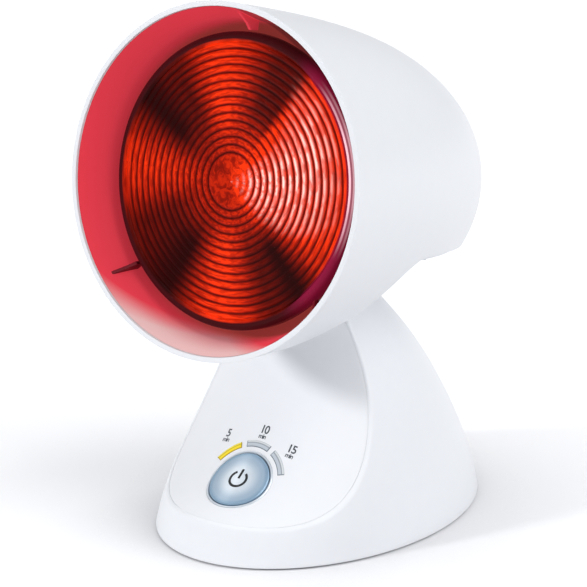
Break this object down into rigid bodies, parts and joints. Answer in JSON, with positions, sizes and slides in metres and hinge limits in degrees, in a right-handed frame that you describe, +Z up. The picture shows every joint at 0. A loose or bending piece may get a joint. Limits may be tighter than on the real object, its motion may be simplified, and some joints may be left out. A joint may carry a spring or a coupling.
{
  "type": "infrared heat therapy lamp",
  "caption": "Table-top heat lamp: a red pressed-glass reflector lamp in a white double-walled head that tilts on a scooped base with a push button and timer windows.",
  "frame": {"origin": "middle of the outline's rectangle seen from above, on the surface that the lamp stands on", "axes": "+Z up, -Y the way the head faces, +X across to the lamp's left as it faces you"},
  "size_m": [0.146, 0.175, 0.2333],
  "materials": {
    "casing_white": "moulded, satin gloss",
    "panel_white": "moulded, gloss",
    "collar_red": "moulded heat-proof plastic, lit red by the lamp",
    "glass_red": "pressed, red-stained",
    "glass_mirror": "mirrored glass",
    "tungsten": "drawn wire",
    "cap_brass": "rolled thread",
    "holder_ceramic": null,
    "steel_zinc": "zinc-plated",
    "spring_steel": "spring steel",
    "plastic_black": "moulded",
    "lead_silicone": "silicone sleeve",
    "lug_zinc": "die-cast",
    "washer_nylon": "moulded",
    "plate_grey": "moulded, matt",
    "rubber_dark": "moulded",
    "yoke_nylon": "glass-filled nylon",
    "board_green": "solder mask",
    "relay_blue": "moulded",
    "block_green": "moulded",
    "led_epoxy": "clear epoxy",
    "window_clear": "diffusing acrylic",
    "bezel_silver": "plated",
    "button_blue": "metallic lacquer"
  },
  "bodies": {
    "base": {"base_shell": "casing_white", "front_panel": "panel_white", "bottom_plate": "plate_grey", "rubber_feet": "rubber_dark", "base_screws": "steel_zinc", "ballast_plate": "steel_zinc", "neck_yoke": "yoke_nylon", "yoke_screws": "steel_zinc", "hinge_pin": "steel_zinc", "pin_clip": "spring_steel", "detent_spring": "spring_steel", "circuit_board": "board_green", "board_posts": "casing_white", "timer_relay": "relay_blue", "capacitor": "plastic_black", "terminal_block": "block_green", "switch_body": "plastic_black", "indicator_leds": "led_epoxy", "light_windows": "window_clear", "button_bezel": "bezel_silver", "cord_bush": "rubber_dark", "button_spring": "spring_steel"},
    "head": {"head_shell": "casing_white", "lamp_tub": "collar_red", "head_underside": "casing_white", "lamp_lens": "glass_red", "lamp_reflector": "glass_mirror", "lamp_filament": "tungsten", "lamp_cap": "cap_brass", "lamp_holder": "holder_ceramic", "holder_bracket": "steel_zinc", "thermal_cutout": "plastic_black", "lamp_leads": "lead_silicone", "tilt_lug": "lug_zinc", "lug_screws": "steel_zinc", "underside_screws": "steel_zinc", "friction_washers": "washer_nylon"},
    "button": {"button_cap": "button_blue"},
    "plunger": {"switch_plunger": "plastic_black"}
  },
  "joints": [
    {"name": "head_tilt", "type": "hinge", "parent": "base", "child": "head", "pos_m": [0, 0.0062, 0.094], "axis": [1, 0, 0], "range_deg": [-20, 20]},
    {"name": "button_press", "type": "slide", "parent": "base", "child": "button", "axis": [0, 0.5793, -0.8151], "range_m": [0, 0.0012], "stiffness_N_per_m": 900, "springref_m": -0.0004, "deforming": ["button_spring"]},
    {"name": "plunger_press", "type": "slide", "parent": "base", "child": "plunger", "axis": [0, 0.5793, -0.8151], "range_m": [0, 0.0012]}
  ],
  "couplings": [
    {"joint": "plunger_press", "follows": "button_press", "ratio": 1}
  ]
}
